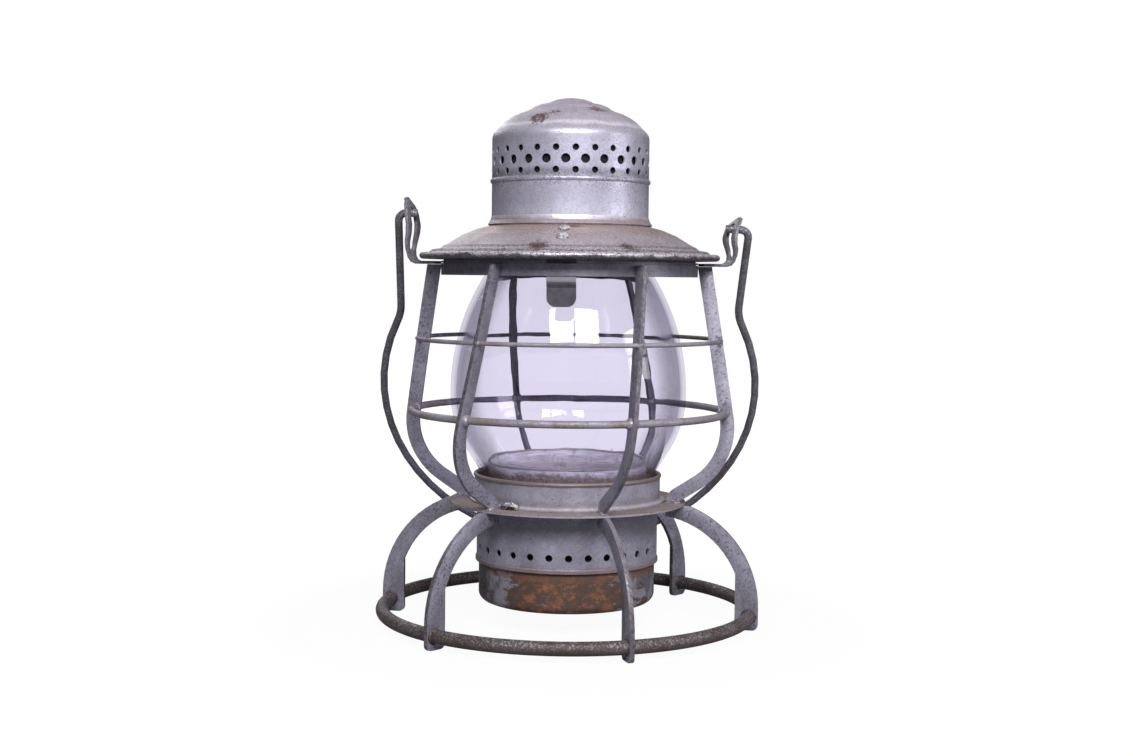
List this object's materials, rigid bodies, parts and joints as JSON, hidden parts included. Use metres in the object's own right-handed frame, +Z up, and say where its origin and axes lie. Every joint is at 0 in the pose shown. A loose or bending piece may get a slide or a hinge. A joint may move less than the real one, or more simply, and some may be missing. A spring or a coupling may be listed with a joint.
{
  "type": "railroad lantern",
  "caption": "Hand-held railroad lantern: wire-guarded steel cage on splayed legs, tall clear globe, hinged vented lid with a spring latch, wire bail, oil fount and flat-wick burner.",
  "frame": {"origin": "middle of the base, on the plane that the feet stand on", "axes": "+Z up along the globe's axis, -Y the front with the lid latch, +X the lantern's right side as seen from the front"},
  "size_m": [0.1899, 0.1812, 0.2472],
  "materials": {
    "aluminium_paint": "satin aluminium paint, worn and spotted",
    "dusty_paint": "satin aluminium paint under brown dust and rust",
    "dark_wire": "satin, darkened paint on steel wire and strip",
    "rusty_base_wire": "rough, rusted through the paint",
    "rusty_fount": "rough, orange-brown rust over grey",
    "spring_steel": "bright, rubbed smooth",
    "tinned_sheet": "bright, brushed",
    "clear_glass": "clear, polished",
    "burner_brass": "dull brass",
    "cotton_wick": "woven cotton"
  },
  "bodies": {
    "cage": {"base_ring": "rusty_base_wire", "rib_1": "aluminium_paint", "rib_2": "aluminium_paint", "rib_3": "aluminium_paint", "rib_4": "aluminium_paint", "rib_5": "aluminium_paint", "rib_6": "aluminium_paint", "guard_wire_upper": "dark_wire", "guard_wire_lower": "dark_wire", "top_band": "aluminium_paint", "deck_plate": "dusty_paint", "globe_collar": "aluminium_paint", "burner_cup": "tinned_sheet", "fount_shell": "aluminium_paint", "fount": "rusty_fount", "filler_cap": "rusty_fount", "burner": "burner_brass", "globe": "clear_glass", "ear_left": "dark_wire", "ear_right": "dark_wire", "hinge_bracket": "aluminium_paint", "hinge_pin": "dark_wire"},
    "lid": {"hood": "dusty_paint", "lid_skirt": "aluminium_paint", "chimney": "aluminium_paint", "lid_hinge_leaf": "aluminium_paint", "latch_strap": "spring_steel", "latch_rivets": "aluminium_paint"},
    "latch": {"latch_tongue": "spring_steel"},
    "bail": {"bail": "dark_wire"},
    "wick_knob": {"wick_wheel": "burner_brass"},
    "wick": {"wick": "cotton_wick"}
  },
  "joints": [
    {"name": "lid_hinge", "type": "hinge", "parent": "cage", "child": "lid", "pos_m": [0.00406, 0.06642, 0.1686], "axis": [-0.9981, 0.061, 0], "range_deg": [0, 105]},
    {"name": "latch_flex", "type": "hinge", "parent": "lid", "child": "latch", "pos_m": [-0.00357, -0.05844, 0.1748], "axis": [0.9981, -0.061, 0], "range_deg": [0, 10], "stiffness_Nm_per_rad": 0.5},
    {"name": "bail_swing", "type": "hinge", "parent": "cage", "child": "bail", "pos_m": [0, 0, 0.1901], "axis": [0.9992, 0, -0.0401], "range_deg": [0, 303]},
    {"name": "wick_turn", "type": "hinge", "parent": "cage", "child": "wick_knob", "pos_m": [0.02, -0.0036, 0.057], "axis": [1, 0, 0], "range_deg": [-115, 69]},
    {"name": "wick_lift", "type": "slide", "parent": "cage", "child": "wick", "axis": [0, 0, 1], "range_m": [-0.005, 0.003]}
  ],
  "couplings": [
    {"joint": "wick_turn", "follows": "wick_lift", "rad_per_m": 400}
  ]
}
